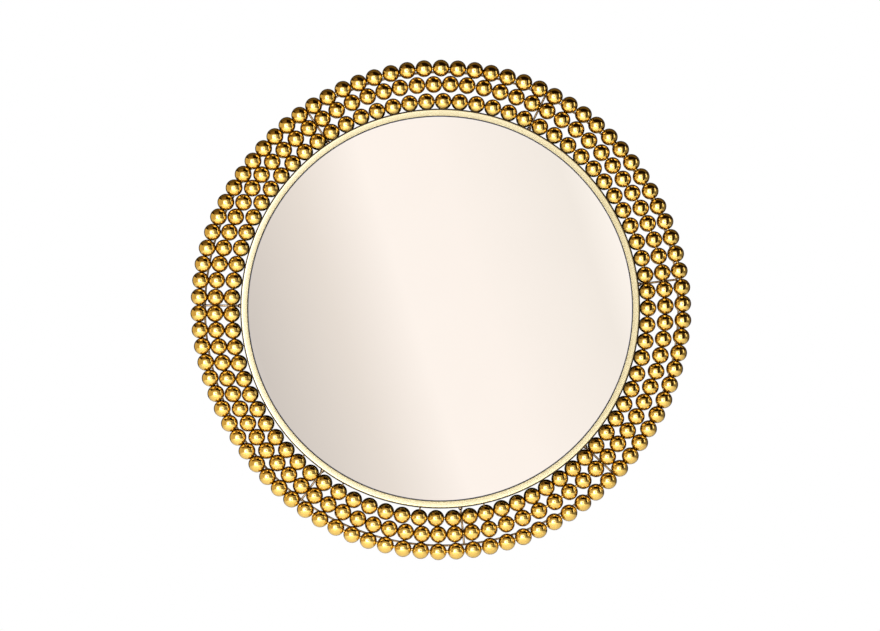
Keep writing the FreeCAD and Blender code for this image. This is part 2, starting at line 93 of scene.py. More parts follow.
camera_data = bpy.data.cameras.new("camera")
camera_data.lens = LENS
camera_data.shift_x = (FRAME_WIDTH_PX / 2 - MIRROR_CENTRE_PX[0]) / FRAME_WIDTH_PX
camera_data.shift_y = (MIRROR_CENTRE_PX[1] - FRAME_HEIGHT_PX / 2) / FRAME_WIDTH_PX
camera_distance = view_width * LENS / camera_data.sensor_width
camera = bpy.data.objects.new("camera", camera_data)
camera.location = (0, bead_plane - camera_distance, 0)
camera.rotation_euler = (math.pi / 2, 0, 0)
scene.collection.objects.link(camera)
scene.camera = camera
scene.view_settings.view_transform = "Standard"
print(f"camera {camera_distance:.2f} m away, seeing {view_width:.2f} m across")

# %% [markdown]
# ## Helpers for finishes
#
# Every finish here is worked out by shader nodes and not by pictures, so it has no seams and no repeats.
# The nodes could be placed by hand in the editor. In a script, a few helpers do it: one starts a
# material, one adds a node with its settings on one line, and the others wrap the nodes that come back in
# every finish.

# %% Finish helpers
def new_material(name):
    """A material with its node tree and its Principled shader."""
    material = bpy.data.materials.new(name)
    material.use_nodes = True
    return material, material.node_tree, material.node_tree.nodes["Principled BSDF"]


def add_node(tree, kind, inputs=None, **settings):
    """A shader node, with plain values or sockets to connect given by input name."""
    node = tree.nodes.new("ShaderNode" + kind)
    for name, setting in settings.items():
        setattr(node, name, setting)
    for name, value in (inputs or {}).items():
        if isinstance(value, bpy.types.NodeSocket):
            tree.links.new(value, node.inputs[name])
        else:
            node.inputs[name].default_value = value
    return node


def ramp(tree, factor, stops):
    """A colour ramp with stops of (position, colour)."""
    node = add_node(tree, "ValToRGB", {"Fac": factor})
    band = node.color_ramp
    while len(band.elements) < len(stops):
        band.elements.new(0.5)
    for element, (position, colour) in zip(band.elements, stops):
        element.position = position
        element.color = (*colour, 1)
    return node.outputs["Color"]


def noise(tree, place, scale, detail=3.0, roughness=0.5):
    """A cloudy value between 0 and 1 that changes from place to place."""
    settings = {"Vector": place, "Scale": scale, "Detail": detail, "Roughness": roughness}
    return add_node(tree, "TexNoise", settings).outputs["Fac"]


def spread(tree, factor, start, end):
    """Stretch a 0 to 1 value to the range from start to end."""
    node = add_node(tree, "MapRange", {"Value": factor, "To Min": start, "To Max": end})
    return node.outputs["Result"]


def object_place(tree):
    """The place of a point on its own object, in metres."""
    return add_node(tree, "TexCoord").outputs["Object"]


print("finish helpers ready")

# %% [markdown]
# ## The studio
#
# Polished metal has no colour of its own to show: it shows the room. A picture of a room could be wrapped
# round the scene. Here the set is built from what the beads reflect, so that each light can be moved by
# itself: a lit wall in front, warm walls above it and to the left, cloth flags overhead, a dark screen
# and a narrow light to the right, and a pale floor. The floor comes first, fading out towards its edge,
# and then the world behind everything, which is white to the camera and a dark warm room to light and
# reflections.

# %% Floor and world
FLOOR_HEIGHT = -0.75
FLOOR_RADIUS = 2.6
FLOOR_FADE_FROM = 0.5 * FLOOR_RADIUS
FLOOR_STEPS = 96


def at_angle(radius, degrees, depth):
    """A point at an angle round the mirror, anticlockwise from the right as seen from the front."""
    turn = math.radians(degrees)
    return Vector((radius * math.cos(turn), depth, radius * math.sin(turn)))


def make_floor():
    """A pale round floor that fades out towards its edge."""
    mesh = bpy.data.meshes.new("floor")
    edge = [at_angle(FLOOR_RADIUS, 360 * i / FLOOR_STEPS, 0) for i in range(FLOOR_STEPS)]
    points = [(p.x, p.z, FLOOR_HEIGHT) for p in edge]
    mesh.from_pydata(points, [], [tuple(range(FLOOR_STEPS))])
    floor = bpy.data.objects.new("floor", mesh)
    scene.collection.objects.link(floor)
    material, tree, shader = new_material("floor_paint")
    place = object_place(tree)
    speckle = noise(tree, place, 60, detail=6)
    shade = ramp(tree, speckle, [(0.3, (0.80, 0.795, 0.785)), (0.7, (0.86, 0.855, 0.845))])
    tree.links.new(shade, shader.inputs["Base Color"])
    shader.inputs["Roughness"].default_value = 0.7
    flat = add_node(tree, "VectorMath", {0: place, 1: (1, 1, 0)}, operation="MULTIPLY").outputs["Vector"]
    reach = add_node(tree, "VectorMath", {0: flat}, operation="LENGTH").outputs["Value"]
    fade = add_node(tree, "MapRange", {
        "Value": reach,
        "From Min": FLOOR_FADE_FROM,
        "From Max": FLOOR_RADIUS,
        "To Min": 1.0,
        "To Max": 0.0,
    }, interpolation_type="SMOOTHSTEP").outputs["Result"]
    tree.links.new(fade, shader.inputs["Alpha"])
    floor.data.materials.append(material)


def make_world():
    """White to the camera; to light and reflections a dark warm room, less dark behind the mirror."""
    world = bpy.data.worlds.new("studio")
    world.use_nodes = True
    scene.world = world
    tree = world.node_tree
    place = add_node(tree, "TexCoord").outputs["Generated"]
    behind = add_node(tree, "SeparateXYZ", {"Vector": place}).outputs["Y"]
    level = add_node(tree, "MapRange", {"Value": behind, "From Min": -1.0}).outputs["Result"]
    tone = ramp(tree, level, [
        (0.50, (0.036, 0.018, 0.006)),
        (0.62, (0.045, 0.028, 0.014)),
        (0.85, (0.080, 0.056, 0.036)),
    ])
    room = tree.nodes["Background"]
    tree.links.new(tone, room.inputs["Color"])
    white = add_node(tree, "Background", {"Color": (1, 1, 1, 1), "Strength": 1.0})
    is_camera = add_node(tree, "LightPath").outputs["Is Camera Ray"]
    both = add_node(tree, "MixShader", {0: is_camera, 1: room.outputs[0], 2: white.outputs[0]})
    tree.links.new(both.outputs[0], tree.nodes["World Output"].inputs["Surface"])


make_floor()
make_world()
print(f"floor at {FLOOR_HEIGHT} m, {2 * FLOOR_RADIUS} m across")

# %% [markdown]
# Each panel is one four-cornered face that gives light. An area lamp would do for a plain one, but a face
# can carry shading and can be nearly black, as cloth is. The panels light the scene and show in
# reflections, but the camera looks through them, and they cast no shadow.

# %% Panel helpers
def glowing(name, colour, strength):
    """A material that only gives light, with its node tree and its light node."""
    material, tree, shader = new_material(name)
    tree.nodes.remove(shader)
    glow = add_node(tree, "Emission", {"Color": (*colour, 1), "Strength": strength})
    tree.links.new(glow.outputs[0], tree.nodes["Material Output"].inputs["Surface"])
    return material, tree, glow


def hang_panel(name, corners, material):
    """A four-cornered face that the camera looks through and that casts no shadow."""
    mesh = bpy.data.meshes.new(name)
    mesh.from_pydata(corners, [], [(0, 1, 2, 3)])
    panel = bpy.data.objects.new(name, mesh)
    scene.collection.objects.link(panel)
    panel.data.materials.append(material)
    panel.visible_camera = False
    panel.visible_shadow = False


def upright(widths, heights, depth):
    """Corners of a panel that faces the mirror, from its ranges along X and Z."""
    (left, right), (bottom, top) = widths, heights
    return [(left, depth, bottom), (right, depth, bottom), (right, depth, top), (left, depth, top)]


def side_wall(place, depths, heights):
    """Corners of a panel that stands beside the mirror, from its ranges along Y and Z."""
    (front, back), (bottom, top) = depths, heights
    return [(place, front, bottom), (place, back, bottom), (place, back, top), (place, front, top)]


def overhead(widths, depths, height):
    """Corners of a level panel, from its ranges along X and Y."""
    (left, right), (front, back) = widths, depths
    return [(left, front, height), (right, front, height), (right, back, height), (left, back, height)]


print("panel helpers ready")

# %% [markdown]
# The front wall is all that the mirror glass shows. One even tone would make the glass look like card, so
# there the wall is shaded along a slanted line, grey at the left and cream in the middle. Round that part
# it carries a glow that the glass does not show but the beads do. The glow is cool, because gold warms
# what it reflects: the middle of each bead then comes out cream and not orange.

# %% Front wall
WALL_DEPTH = -4.3
WALL_TOP = 2.4
WALL_BOTTOM = -3.0
WALL_LEFT = -7.4
WALL_SPLIT = 1.1
SHADING_SLANT = (0.95, 0, 0.31)
SHADING_REACH = 2.0
CLEAR_CENTRE = (-0.13, 0, -0.06)
CLEAR_REACH = (1.22, 1.1)
GLASS_ZONE = 0.57
GLASS_ZONE_END = 1.3 * GLASS_ZONE
GLOW_CENTRE = (-1.25, 0, -0.5)
GLOW_REACH = (3.9, 3.2)
GLOW_STRENGTH = 7.0
GLOW_COLOUR = (0.82, 0.95, 1.60, 1)


def fall_off(tree, place, centre, reach, edge_from, edge_to):
    """A value that goes from 0 to 1 with the distance from a centre, measured in units of the reach."""
    offset = add_node(tree, "VectorMath", {0: place, 1: centre}, operation="SUBTRACT").outputs["Vector"]
    scale = (1 / reach[0], 0, 1 / reach[1])
    scaled = add_node(tree, "VectorMath", {0: offset, 1: scale}, operation="MULTIPLY").outputs["Vector"]
    distance = add_node(tree, "VectorMath", {0: scaled}, operation="LENGTH").outputs["Value"]
    settings = {"Value": distance, "From Min": edge_from, "From Max": edge_to}
    return add_node(tree, "MapRange", settings, interpolation_type="SMOOTHSTEP").outputs["Result"]


def make_front_wall():
    """The lit wall: soft slanted shading where the glass shows it, and a cool glow round that part."""
    material, tree, shading = glowing("front_wall_light", (1, 1, 1), 1.0)
    place = object_place(tree)
    slant = add_node(tree, "VectorMath", {0: place, 1: SHADING_SLANT}, operation="DOT_PRODUCT")
    across = add_node(tree, "MapRange", {
        "Value": slant.outputs["Value"],
        "From Min": -SHADING_REACH,
        "From Max": SHADING_REACH,
    })
    tone = ramp(tree, across.outputs["Result"], [
        (0.10, (1.00, 0.95, 0.90)),
        (0.28, (1.20, 1.20, 1.25)),
        (0.37, (0.66, 0.60, 0.55)),
        (0.43, (0.84, 0.76, 0.69)),
        (0.48, (1.04, 0.95, 0.88)),
        (0.53, (1.03, 0.94, 0.87)),
        (0.61, (0.93, 0.86, 0.79)),
        (0.70, (1.30, 1.22, 1.15)),
    ])
    tree.links.new(tone, shading.inputs["Color"])
    away = fall_off(tree, place, GLOW_CENTRE, GLOW_REACH, 0.0, 1.0)
    lit = spread(tree, away, GLOW_STRENGTH, 0.0)
    outside = fall_off(tree, place, CLEAR_CENTRE, CLEAR_REACH, GLASS_ZONE, GLASS_ZONE_END)
    level = add_node(tree, "Math", {0: lit, 1: outside}, operation="MULTIPLY").outputs[0]
    glow = add_node(tree, "Emission", {"Color": GLOW_COLOUR, "Strength": level})
    both = add_node(tree, "AddShader", {0: shading.outputs[0], 1: glow.outputs[0]})
    tree.links.new(both.outputs[0], tree.nodes["Material Output"].inputs["Surface"])
    corners = upright((WALL_LEFT, WALL_SPLIT), (WALL_BOTTOM, WALL_TOP), WALL_DEPTH)
    hang_panel("front_wall", corners, material)


make_front_wall()
print(f"front wall {WALL_SPLIT - WALL_LEFT:.1f} m wide, {-WALL_DEPTH} m in front of the mirror")

# %% [markdown]
# The other panels have one tone each. A bead shows all of them at once, small and bent: the walls as its
# lit band, the flags and the ceiling as its darker cap, the screen as a dark mark at the right and the
# strip as a highlight. Plain panels are enough, because none of them covers more than a few pixels of a
# bead.

# %% Plain panels
WALL_RIGHT = 6.0
RIGHT_WALL_TOP = 0.7 * WALL_TOP
UPPER_WALL_TOP = 2.3 * WALL_TOP
SIDE_WALL = 3.2
LEFT_WALL_END = 2.0
LEFT_WALL_TOP = 1.6
RIGHT_SIDE_END = 1.5
RIGHT_SIDE_TOP = 1.0
CEILING_WIDTHS = (-2.6, 2.6)
CEILING_DEPTHS = (-0.1, 1.6)
CEILING_HEIGHT = 2.2
FLAG_END = 1.4
FLAG_SPLIT = -0.3
FLAG_DEPTHS = (-1.14, -0.16)
FLAG_HEIGHT = 1.0
SCREEN_WIDTHS = (0.46, 0.74)
SCREEN_HEIGHTS = (-0.25, 0.65)
SCREEN_DEPTH = -0.35
STRIP_PLACE = 2.5
STRIP_DEPTHS = (-1.0, -0.4)
STRIP_HEIGHTS = (0.0, 1.6)


def plain_panel(name, corners, colour, strength=1.0):
    """A panel with one tone all over."""
    hang_panel(name, corners, glowing(f"{name}_glow", colour, strength)[0])


right_wall = upright((WALL_SPLIT, WALL_RIGHT), (WALL_BOTTOM, RIGHT_WALL_TOP), WALL_DEPTH)
plain_panel("right_wall", right_wall, (1.0, 0.92, 0.80), 0.85)
upper_wall = upright((WALL_LEFT, WALL_RIGHT), (WALL_TOP, UPPER_WALL_TOP), WALL_DEPTH)
plain_panel("upper_wall", upper_wall, (1.0, 0.82, 0.55), 0.9)
plain_panel("ceiling", overhead(CEILING_WIDTHS, CEILING_DEPTHS, CEILING_HEIGHT), (0.19, 0.13, 0.05))
plain_panel("dark_flag", overhead((FLAG_SPLIT, FLAG_END), FLAG_DEPTHS, FLAG_HEIGHT), (0.014, 0.007, 0.002))
plain_panel("brown_flag", overhead((-FLAG_END, FLAG_SPLIT), FLAG_DEPTHS, FLAG_HEIGHT), (0.34, 0.215, 0.08))
left_wall = side_wall(-SIDE_WALL, (WALL_DEPTH, LEFT_WALL_END), (WALL_BOTTOM, LEFT_WALL_TOP))
plain_panel("left_wall", left_wall, (1.0, 0.80, 0.48))
right_side = side_wall(SIDE_WALL, (WALL_DEPTH, RIGHT_SIDE_END), (WALL_BOTTOM, RIGHT_SIDE_TOP))
plain_panel("right_side", right_side, (1.0, 0.90, 0.76), 0.34)
plain_panel("dark_screen", upright(SCREEN_WIDTHS, SCREEN_HEIGHTS, SCREEN_DEPTH), (0.05, 0.035, 0.02))
plain_panel("strip_panel", side_wall(STRIP_PLACE, STRIP_DEPTHS, STRIP_HEIGHTS), (1.0, 0.97, 0.92), 2.5)

# %% [markdown]
# Three soft lamps light what is not polished. Two of them hang over the floor in front of the mirror, a
# wide warm one and a small cool one, because the lower half of every bead shows that floor. The third
# lights the back. All are left out of reflections, where they would show as hard white discs.

# %% Lamps
FLOOR_LAMP = (-0.3, -1.9, 1.3)
CORE_LAMP = (-0.3, -2.0, 0.3)
BACK_LAMP = (-1.2, 2.6, 1.4)


def hang_lamp(name, place, aim, size, power, colour):
    """A soft lamp that lights rough surfaces and is left out of reflections."""
    data = bpy.data.lights.new(name, "AREA")
    data.shape = "DISK"
    data.size = size
    data.energy = power
    data.color = colour
    lamp = bpy.data.objects.new(name, data)
    lamp.location = place
    lamp.rotation_euler = (Vector(aim) - Vector(place)).to_track_quat("-Z", "Y").to_euler()
    lamp.visible_glossy = False
    lamp.visible_camera = False
    scene.collection.objects.link(lamp)


def below(place):
    """The point of the floor under a place."""
    return (place[0], place[1], FLOOR_HEIGHT)


hang_lamp("floor_lamp", FLOOR_LAMP, below(FLOOR_LAMP), size=1.4, power=130, colour=(1.0, 0.97, 0.80))
hang_lamp("core_lamp", CORE_LAMP, below(CORE_LAMP), size=0.8, power=42, colour=(0.72, 0.92, 1.6))
hang_lamp("back_lamp", BACK_LAMP, (0, 0, 0), size=2.0, power=60, colour=(1.0, 0.97, 0.92))

# %% [markdown]
# ## The rim
#
# The rim is one strip of sheet steel, bent to a channel and rolled to a hoop: a flat face with a narrow
# step round its outside, a wall behind it and a rear lip. Its pale satin gold is brushed in a lathe, so
# its fine lines run in circles. Plain noise would give specks, so the noise is squeezed along the radius
# and stretched round the axis. The step, all of the rim outside it and the inner corner of the face
# carry painted shade, a dark brown mixed into the gold by radius.

# %% Rim gold
RIM_FACE = 12.0 * MM
RIM_STEP = 2.0 * MM
RIM_CORNER = 0.8 * MM
# The dark colour below is painted shade: on the step, all of the rim outside it and the face's inner
# corner.
RIM_SHADE = (0.022, 0.015, 0.008, 1)
SHADE_BLUR = 0.1 * MM
LATHE_LINES = 2600.0
LATHE_STRETCH = (6, 6, 6)
rim_low, rim_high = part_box("rim")
RIM_OUTSIDE = rim_high.x
RIM_BROW = RIM_OUTSIDE - RIM_STEP
RIM_OPENING = RIM_OUTSIDE - RIM_FACE


def mixed(tree, factor, start, end):
    """A colour that goes from start to end with a 0 to 1 factor."""
    return add_node(tree, "MixRGB", {"Fac": factor, "Color1": start, "Color2": end}).outputs["Color"]


def bump(tree, height, strength, distance):
    """A surface that looks raised by a 0 to 1 height times a distance."""
    settings = {"Height": height, "Strength": strength, "Distance": distance}
    return add_node(tree, "Bump", settings).outputs["Normal"]


def across_edge(tree, radius, unshaded, shaded):
    """A value that goes from 0 at the unshaded radius to 1 at the shaded one."""
    settings = {"Value": radius, "From Min": unshaded, "From Max": shaded}
    return add_node(tree, "MapRange", settings).outputs["Result"]


def make_rim_gold():
    """Pale satin gold with lathe lines, and painted shade on the step and at the inner corner."""
    material, tree, shader = new_material("satin_rim_gold")
    place = object_place(tree)
    flat = add_node(tree, "VectorMath", {0: place, 1: (1, 0, 1)}, operation="MULTIPLY").outputs["Vector"]
    radius = add_node(tree, "VectorMath", {0: flat}, operation="LENGTH").outputs["Value"]
    heading = add_node(tree, "VectorMath", {0: flat}, operation="NORMALIZE").outputs["Vector"]
    around = add_node(tree, "VectorMath", {0: heading, 1: LATHE_STRETCH}, operation="MULTIPLY")
    out = add_node(tree, "Math", {0: radius, 1: LATHE_LINES}, operation="MULTIPLY").outputs[0]
    lift = add_node(tree, "CombineXYZ", {"Y": out}).outputs[0]
    lathe = add_node(tree, "VectorMath", {0: around.outputs["Vector"], 1: lift}, operation="ADD")
    lines = noise(tree, lathe.outputs["Vector"], 1.0, detail=4)
    cloud = noise(tree, place, 9, detail=2)
    tone = ramp(tree, cloud, [(0.3, (0.405, 0.330, 0.145)), (0.7, (0.43, 0.355, 0.165))])
    # Painted shade: dark outside the step's edge and in a thin band at the inner corner of the face.
    edge = across_edge(tree, radius, RIM_BROW - SHADE_BLUR, RIM_BROW + SHADE_BLUR)
    corner_shade_from = RIM_OPENING + RIM_CORNER
    corner = across_edge(tree, radius, corner_shade_from + SHADE_BLUR, corner_shade_from - SHADE_BLUR)
    dark = add_node(tree, "Math", {0: edge, 1: corner}, operation="MAXIMUM").outputs[0]
    shader.inputs["Metallic"].default_value = 1.0
    tree.links.new(mixed(tree, dark, tone, RIM_SHADE), shader.inputs["Base Color"])
    tree.links.new(spread(tree, lines, 0.22, 0.30), shader.inputs["Roughness"])
    tree.links.new(bump(tree, lines, 0.12, 0.1 * MM), shader.inputs["Normal"])
    return material


rim_gold = make_rim_gold()
print(f"{rim_gold.name}: {len(rim_gold.node_tree.nodes)} shader nodes")

# %% [markdown]
# Almost everything on this mirror is turned round the same axis. A turned piece could be a curve with a
# bevel, but a mesh of its own has clean closed faces, so one helper sweeps a closed outline round the
# axis, and others make the mesh and let it move with a body of the frame.

# %% Mesh helpers
def add_piece(name, mesh, body="frame"):
    """A new object in the scene that moves with one body of the frame."""
    piece = bpy.data.objects.new(name, mesh)
    scene.collection.objects.link(piece)
    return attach(piece, body)


def build_mesh(name, points, faces, sharp_angle=35):
    """A smooth-shaded mesh whose faces all point outwards; edges over sharp_angle degrees stay sharp."""
    mesh = bpy.data.meshes.new(name)
    mesh.from_pydata(points, [], faces)
    cleaner = bmesh.new()
    cleaner.from_mesh(mesh)
    bmesh.ops.recalc_face_normals(cleaner, faces=cleaner.faces)
    cleaner.to_mesh(mesh)
    cleaner.free()
    mesh.shade_smooth()
    mesh.set_sharp_from_angle(angle=math.radians(sharp_angle))
    return mesh


def turned(outline, steps, swell=None):
    """Points and faces of a closed outline of (radius, along) pairs, swept round the Y axis.

    Where swell is given, it tells how far the sweep stands outside its circle at an angle in degrees.
    """
    count = len(outline)
    points = []
    faces = []
    for i in range(steps):
        angle = 2 * math.pi * i / steps
        after = (i + 1) % steps
        extra = swell(math.degrees(angle)) if swell else 0
        for j, (radius, along) in enumerate(outline):
            points.append(((radius + extra) * math.cos(angle), along, (radius + extra) * math.sin(angle)))
            beside = (j + 1) % count
            faces.append((i * count + j, i * count + beside, after * count + beside, after * count + j))
    return points, faces


def arc(centre, radius, start, end, steps):
    """Points on an arc from start to end, in degrees."""
    turns = [math.radians(start + (end - start) * i / steps) for i in range(steps + 1)]
    return [(centre[0] + radius * math.cos(t), centre[1] + radius * math.sin(t)) for t in turns]


print("mesh helpers ready")

# %% [markdown]
# The hoop could be cut from a ring, but its section is easier to draw once and sweep round. The edges are
# rounded, because a bent edge is never sharp, and the face is crowned by a twentieth of a millimetre, so
# that its reflection changes a little across it.

# %% Rim hoop
SHEET = 1.5 * MM
RIM_LIP_WIDTH = 6.0 * MM
RIM_WALL_INSIDE = RIM_OUTSIDE - SHEET
RIM_LIP = RIM_OUTSIDE - RIM_LIP_WIDTH
RIM_FRONT = rim_low.y
RIM_BACK = rim_high.y
RIM_STEP_DEPTH = 0.9 * MM
EDGE = 1.0 * MM
CROWN = 0.05 * MM
CROWN_SHARES = (-0.6, -0.2, 0.2, 0.6)
HOOP_STEPS = 288


def rim_outline():
    """The bent strip's section as (radius, depth) points, from the face's inner edge round to its back."""
    shoulder = RIM_FRONT + CROWN + EDGE
    outline = arc((RIM_OPENING + EDGE, shoulder), EDGE, 180, 270, 5)
    middle = (RIM_OPENING + RIM_BROW) / 2
    half = (RIM_BROW - RIM_OPENING) / 2 - EDGE
    for share in CROWN_SHARES:
        outline.append((middle + share * half, RIM_FRONT + CROWN * share * share))
    outline += arc((RIM_BROW - EDGE / 2, RIM_FRONT + CROWN + EDGE / 2), EDGE / 2, 270, 360, 4)
    outline.append((RIM_BROW, RIM_FRONT + RIM_STEP_DEPTH))
    step_middle = (RIM_OUTSIDE - EDGE / 2, RIM_FRONT + RIM_STEP_DEPTH + EDGE / 2)
    outline += arc(step_middle, EDGE / 2, 270, 360, 3)
    outline += arc((RIM_OUTSIDE - EDGE, RIM_BACK - EDGE), EDGE, 0, 90, 4)
    outline += arc((RIM_LIP + SHEET / 2, RIM_BACK - SHEET / 2), SHEET / 2, 90, 270, 6)
    outline += [
        (RIM_WALL_INSIDE, RIM_BACK - SHEET),
        (RIM_WALL_INSIDE, RIM_FRONT + SHEET),
        (RIM_OPENING + EDGE / 2, RIM_FRONT + SHEET),
    ]
    return outline


rim = add_piece("rim_hoop", build_mesh("rim_hoop", *turned(rim_outline(), HOOP_STEPS)))
rim.data.materials.append(rim_gold)
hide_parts("rim")
print(f"rim {2000 * RIM_OUTSIDE:.0f} mm across, {len(rim.data.polygons)} faces")

# %% [markdown]
# ## Beads
#
# Each bead is a hollow ball, pressed from sheet, drilled through for the wire of its row, plated,
# polished and lacquered. One plain gold would make all beads alike and their edges too light. So the tone
# differs a little from bead to bead, and slow waves, as pressed sheet has, keep the reflections from
# looking computed. Two browns are painted shade: one mixed in towards each bead's outline, where it is
# seen at a slant, and a darker one in the crevices where beads meet each other or the rim.

# %% Bead gold
BEAD_TONES = [(0.0, (0.59, 0.395, 0.092)), (1.0, (0.64, 0.435, 0.112))]
# Painted shade: the brown mixed in towards each bead's outline, where the surface is seen at a slant.
OUTLINE_SHADE = (0.19, 0.10, 0.022, 1)
OUTLINE_SHADE_FROM = 0.42
OUTLINE_SHADE_TO = 0.88
OUTLINE_SHADE_SHARE = 0.72
# Painted shade: the darker brown of the crevices where beads meet each other or the rim.
CREVICE_SHADE = (0.10, 0.055, 0.018, 1)
CREVICE_ROUGHNESS = 0.3


def make_bead_gold():
    """Polished gold under lacquer, with painted shade towards each bead's outline and where the mesh says
    that beads meet.
    """
    material, tree, shader = new_material("polished_bead_gold")
    place = object_place(tree)
    each = add_node(tree, "NewGeometry").outputs["Random Per Island"]
    tone = ramp(tree, each, BEAD_TONES)
    # Painted shade: a brown mixed in where the surface is seen at a slant, that is towards each bead's
    # outline.
    facing = add_node(tree, "LayerWeight", {"Blend": 0.5}).outputs["Facing"]
    slant = add_node(tree, "MapRange", {
        "Value": facing,
        "From Min": OUTLINE_SHADE_FROM,
        "From Max": OUTLINE_SHADE_TO,
        "To Max": OUTLINE_SHADE_SHARE,
    }, interpolation_type="SMOOTHSTEP").outputs["Result"]
    outline_shaded = mixed(tree, slant, tone, OUTLINE_SHADE)
    # Painted shade in the crevices, read from the number that the bead rows store on the mesh.
    crevice_shade_amount = add_node(tree, "Attribute", attribute_name="crevice").outputs["Fac"]
    shader.inputs["Metallic"].default_value = 1.0
    shader.inputs["Coat Weight"].default_value = 0.2
    shader.inputs["Coat Roughness"].default_value = 0.04
    tree.links.new(mixed(tree, crevice_shade_amount, outline_shaded, CREVICE_SHADE), shader.inputs["Base Color"])
    haze = noise(tree, place, 420, detail=4)
    fine = spread(tree, haze, 0.03, 0.10)
    rough_in_crevices = add_node(tree, "Math", {0: crevice_shade_amount, 1: CREVICE_ROUGHNESS, 2: fine}, operation="MULTIPLY_ADD")
    tree.links.new(rough_in_crevices.outputs[0], shader.inputs["Roughness"])
    wave = noise(tree, place, 70, detail=1)
    tree.links.new(bump(tree, wave, 0.25, 0.6 * MM), shader.inputs["Normal"])
    return material


bead_gold = make_bead_gold()
print(f"{bead_gold.name}: {len(bead_gold.node_tree.nodes)} shader nodes")

# %% [markdown]
# The beads between two spokes share the stretch evenly, but the rings were bent and the beads threaded by
# hand. Beads on a perfect circle would look like a pattern. So one formula makes each ring a little oval,
# wavy and off centre, by a few millimetres in all, and random draws let each bead slide in its gap and
# hang loose on the wire. The draws start from a fixed seed, so that the mirror comes out the same each
# time.

# %% Bead spots
BEAD_RADIUS = (bead_high.y - bead_low.y) / 2
WIRE_RADIUS = 1.75 * MM
BEAD_GAP = 0.2 * MM
ROWS = ("inner", "middle", "outer")
ROW_RADII = {row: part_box(f"{row}_row_wire")[1].x - WIRE_RADIUS for row in ROWS}
ROW_SHIFT = {"inner": -0.7 * MM, "middle": 0.2 * MM, "outer": 1.1 * MM}
ROW_DROP = {"inner": 1.6 * MM, "middle": 0.9 * MM, "outer": 1.6 * MM}
ROW_WAVE = {"inner": 0.33, "middle": 0.78, "outer": 1.0}
OVAL = 0.8 * MM
OVAL_HEADING = math.radians(61)
THREE_WAVES = 0.45 * MM
FOUR_WAVES = 1.45 * MM
FOUR_WAVES_START = 0.25
SIX_WAVES = 0.8 * MM
SIX_WAVES_START = 0.55
SPOKE_ANGLES = [7.0, 63.7, 124.0, 179.2, 234.0, 275.8, 316.4]
LOOSENESS = 0.3 * MM
SLIDE = 0.25
threading = random.Random(7)


def row_bend(row):
    """How far a hand-bent ring stands outside its circle: it is a little oval, wavy and off centre."""
    wave = ROW_WAVE[row]

    def bend(degrees):
        turn = math.radians(degrees)
        oval = OVAL * math.cos(2 * (turn - OVAL_HEADING)) + THREE_WAVES * math.sin(3 * turn)
        four = FOUR_WAVES * wave * math.cos(4 * turn + FOUR_WAVES_START)
        six = SIX_WAVES * wave ** 2 * math.cos(6 * turn + SIX_WAVES_START)
        return oval + (four + six) + ROW_SHIFT[row] * math.cos(turn) - ROW_DROP[row] * math.sin(turn)
    return bend


def thread_beads(row):
    """The spots of one row's beads: their angle and their centre, each a little loose on the wire."""
    spots = []
    radius = ROW_RADII[row]
    for start, end in zip(SPOKE_ANGLES, SPOKE_ANGLES[1:] + [SPOKE_ANGLES[0] + 360]):
        arc_length = math.radians(end - start) * radius
        count = int(arc_length / (2 * BEAD_RADIUS + BEAD_GAP))
        step = (end - start) / count
        room = math.degrees((arc_length / count - 2 * BEAD_RADIUS) / radius)
        for i in range(count):
            degrees = start + step * (i + 0.5) + room * threading.uniform(-SLIDE, SLIDE)
            outwards, forwards = [threading.uniform(-LOOSENESS, LOOSENESS) for _ in range(2)]
            reach = radius + row_bend(row)(degrees) + outwards
            spots.append((degrees, at_angle(reach, degrees, bead_plane + forwards)))
    return spots


ROW_SPOTS = {row: thread_beads(row) for row in ROWS}
print(", ".join(f"{row}: {len(spots)} beads" for row, spots in ROW_SPOTS.items()))

# %% [markdown]
# The bead itself is turned like a ball on a lathe: a half outline swept round its bore. A ready-made
# sphere would have no hole. The ball is drawn a little larger than the measured one, so that neighbours
# meet, as soldered beads do. How deep each point lies in the crevice beside another bead or the rim is
# stored on the mesh as a number, and the gold reads it as the strength of its painted shade.

# %% Bead rows
BORE = WIRE_RADIUS + 0.4 * MM
LIP = 0.5 * MM
BEAD_MEETING = 0.65 * MM
BALL_RADIUS = BEAD_RADIUS + BEAD_MEETING
# The painted crevice shade: how far it reaches and how dark it gets at most.
CREVICE_REACH = 1.36
CREVICE_DEPTH = 0.75
RIM_CREVICE = 0.4 * BEAD_RADIUS
BEAD_STEPS = 32
BEAD_RINGS = 18


def bead_outline():
    """Half of a drilled ball: out of one hole, over its lip, round the ball and in at the other hole."""
    first = math.degrees(math.asin((BORE + LIP) / BALL_RADIUS))
    ball = arc((0, 0), BALL_RADIUS, 90 - first, first - 90, BEAD_RINGS)
    end = ball[0][1]
    lip = [(BORE, end - 3 * LIP), (BORE, end - 0.6 * LIP), (BORE + 0.35 * LIP, end)]
    return lip + ball + [(radius, -along) for radius, along in reversed(lip)]


all_spots = [spot for spots in ROW_SPOTS.values() for _, spot in spots]
neighbours = KDTree(len(all_spots))
for i, spot in enumerate(all_spots):
    neighbours.insert(spot, i)
neighbours.balance()


def crevice(point, spot):
    """How far a point lies in the crevice towards the nearest other bead or the rim, as painted shade."""
    nearby = neighbours.find_n(point, 2)
    distances = [away for centre, _, away in nearby if (centre - spot).length > BEAD_RADIUS]
    nearest = min(distances, default=CREVICE_REACH * BEAD_RADIUS) / BEAD_RADIUS
    between = (CREVICE_REACH - nearest) / (CREVICE_REACH - 1)
    off_rim = math.hypot(point.x, point.z) - RIM_OUTSIDE
    beside_rim = 1 - off_rim / RIM_CREVICE
    return CREVICE_DEPTH * min(1.0, max(0.0, between, beside_rim))


